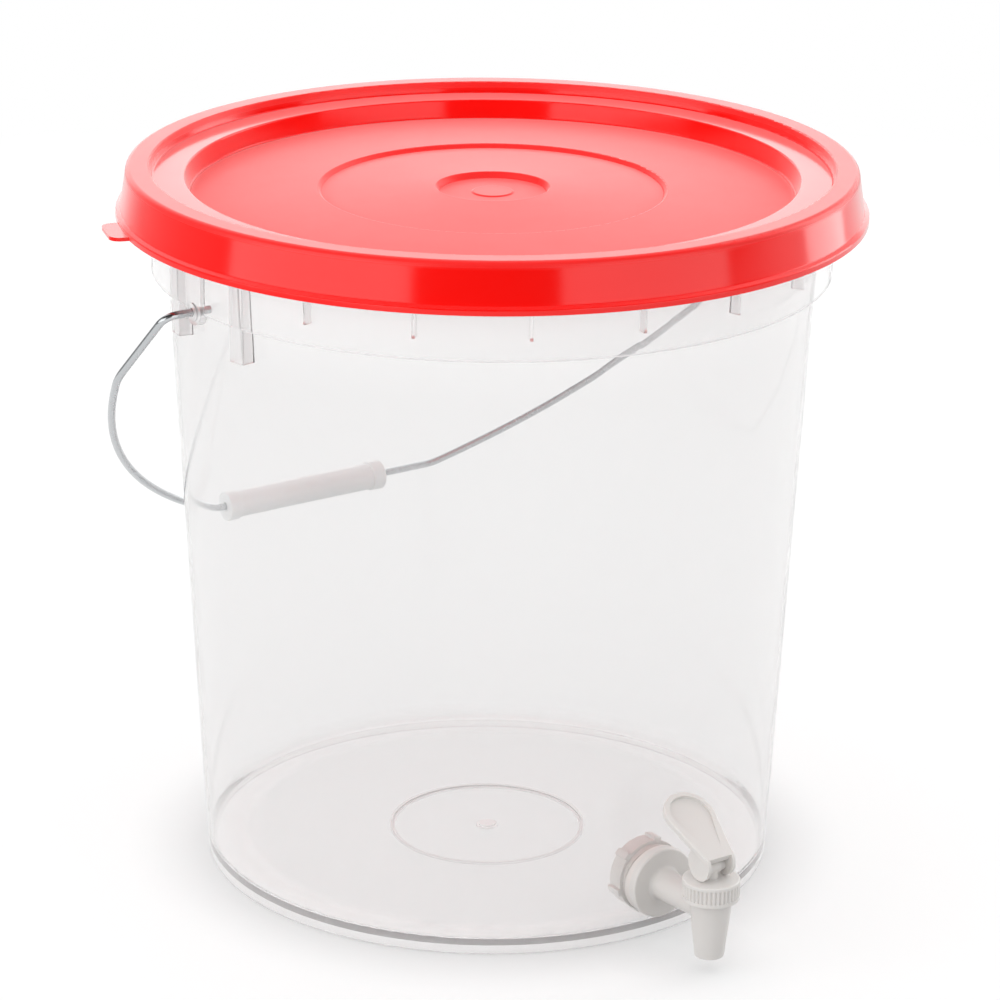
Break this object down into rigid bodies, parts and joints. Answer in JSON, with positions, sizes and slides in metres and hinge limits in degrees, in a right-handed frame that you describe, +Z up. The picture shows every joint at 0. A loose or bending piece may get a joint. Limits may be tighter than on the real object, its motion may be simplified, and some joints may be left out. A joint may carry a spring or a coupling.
{
  "type": "lidded bucket with tap",
  "caption": "Clear tapered bucket with a red press-on lid, a wire bail with a hand grip, and a lever tap low on its wall for drawing off the contents.",
  "frame": {"origin": "centre of the foot ring, on the surface that the bucket stands on", "axes": "+Z up along the bucket's axis, -Y towards the tap's spout, +X and -X through the bail's ears"},
  "size_m": [0.3528, 0.3573, 0.33],
  "materials": {
    "clear_polypropylene": "clear, glossy",
    "red_polyethylene": "glossy moulded",
    "zinc_plated_wire": "bright zinc",
    "white_polypropylene": "satin moulded",
    "stainless_pin": "plain",
    "silicone": "matt translucent"
  },
  "bodies": {
    "bucket": {"bucket_body": "clear_polypropylene", "tap_body": "white_polypropylene", "outer_gasket": "silicone", "inner_gasket": "silicone", "lock_nut": "white_polypropylene", "tap_bonnet": "white_polypropylene", "seat_cup": "silicone"},
    "lid": {"lid": "red_polyethylene"},
    "bail": {"bail_wire": "zinc_plated_wire"},
    "grip": {"bail_grip": "white_polypropylene"},
    "stem": {"valve_stem": "white_polypropylene"},
    "lever": {"tap_lever": "white_polypropylene", "lever_pin": "stainless_pin"}
  },
  "joints": [
    {"name": "lid_lift", "type": "slide", "parent": "bucket", "child": "lid", "axis": [0, 0, 1], "range_m": [0, 0.09]},
    {"name": "bail_swing", "type": "hinge", "parent": "bucket", "child": "bail", "pos_m": [0, 0, 0.2844], "axis": [1, 0, 0], "range_deg": [0, 271]},
    {"name": "grip_spin", "type": "hinge", "parent": "bail", "child": "grip", "pos_m": [-0.013, 0.14597, 0.13343], "axis": [1, 0, 0], "continuous": true},
    {"name": "stem_lift", "type": "slide", "parent": "bucket", "child": "stem", "axis": [0, 0, 1], "range_m": [0, 0.00229], "deforming": ["seat_cup"]},
    {"name": "lever_flip", "type": "hinge", "parent": "stem", "child": "lever", "pos_m": [0, -0.17495, 0.0497], "axis": [1, 0, 0], "range_deg": [0, 85]}
  ],
  "couplings": [
    {"joint": "stem_lift", "follows": "lever_flip", "m_per_rad": 0.0015383}
  ]
}
